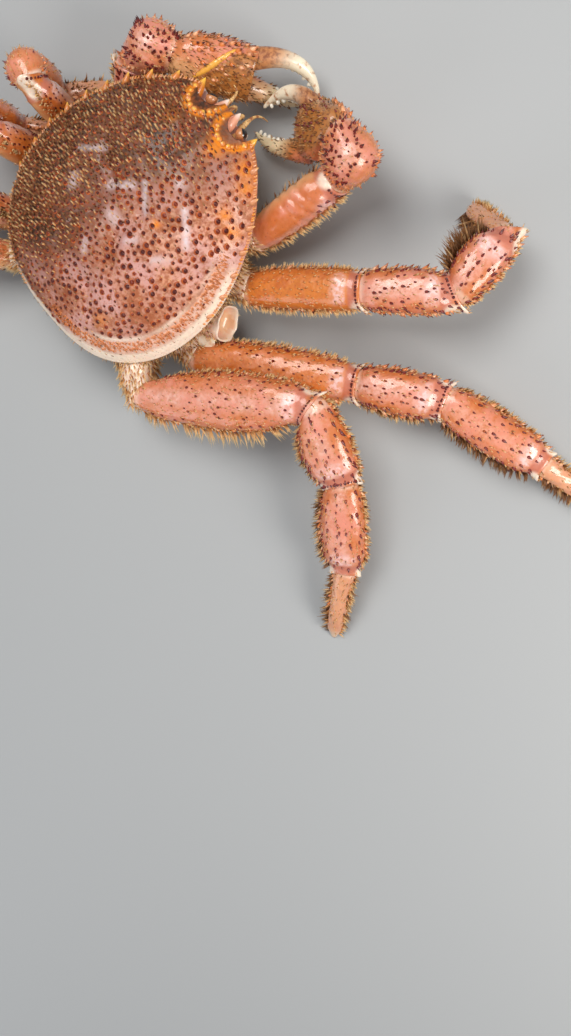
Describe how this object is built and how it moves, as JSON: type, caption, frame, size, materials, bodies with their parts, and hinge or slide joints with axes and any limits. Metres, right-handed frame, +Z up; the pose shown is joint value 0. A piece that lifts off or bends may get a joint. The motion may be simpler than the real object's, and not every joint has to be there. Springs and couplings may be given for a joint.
{
  "type": "horsehair crab",
  "caption": "Life-size still model of a hairy cold-water crab resting on its belly, with a spiny shell, two claws and jointed legs.",
  "frame": {"origin": "on the floor under the flat belly, on the shell's middle line, where the folded abdomen rests", "axes": "+Z up; the front of the crab faces -Y; its own right side, with the stretched legs, is -X"},
  "size_m": [0.3052, 0.1888, 0.0482],
  "materials": {
    "shell": "damp shell, pale lilac pink with red-brown tubercles",
    "limb": "damp salmon-pink shell with dark red spines and golden bristles",
    "joint": "cream joint shell, satin",
    "belly": "cream belly shell, satin",
    "claw": "ivory, polished at the tips",
    "feeler": "golden brown, ringed",
    "eye": "black, glossy",
    "bristle": "stiff golden to dark brown bristles"
  },
  "bodies": {
    "root": {"carapace": "shell", "thorax": "belly", "abdomen": "belly", "eye_R": "eye", "antenna_R": "feeler", "antennule_R": "feeler", "maxilliped_R": "belly", "eye_L": "eye", "antenna_L": "feeler", "antennule_L": "feeler", "maxilliped_L": "belly", "arm_R_coxa": "joint", "arm_R_merus": "limb", "arm_R_carpus": "limb", "arm_R_palm": "limb", "arm_R_finger": "claw", "arm_L_coxa": "joint", "arm_L_merus": "limb", "arm_L_carpus": "limb", "arm_L_palm": "limb", "arm_L_finger": "claw", "leg_R1_coxa": "joint", "leg_R1_merus": "limb", "leg_R1_carpus": "limb", "leg_R1_propodus": "limb", "leg_R1_dactyl": "claw", "leg_R3_coxa": "joint", "leg_R3_merus": "limb", "leg_R3_carpus": "limb", "leg_R3_propodus": "limb", "leg_R3_dactyl": "claw", "leg_R4_coxa": "joint", "leg_R4_merus": "limb", "leg_R4_carpus": "limb", "leg_R4_propodus": "limb", "leg_R4_dactyl": "claw", "leg_L1_coxa": "joint", "leg_L1_merus": "limb", "leg_L1_carpus": "limb", "leg_L1_propodus": "limb", "leg_L1_dactyl": "claw", "leg_L2_coxa": "joint", "leg_L2_merus": "limb", "leg_L2_carpus": "limb", "leg_L2_propodus": "limb", "leg_L2_dactyl": "claw", "leg_L3_coxa": "joint", "leg_L3_merus": "limb", "leg_L3_carpus": "limb", "leg_L3_propodus": "limb", "leg_L3_dactyl": "claw", "leg_L4_coxa": "joint", "leg_L4_merus": "limb", "leg_L4_carpus": "limb", "leg_L4_propodus": "limb", "leg_L4_dactyl": "claw", "leg_R2_stump": "joint"}
  },
  "joints": []
}
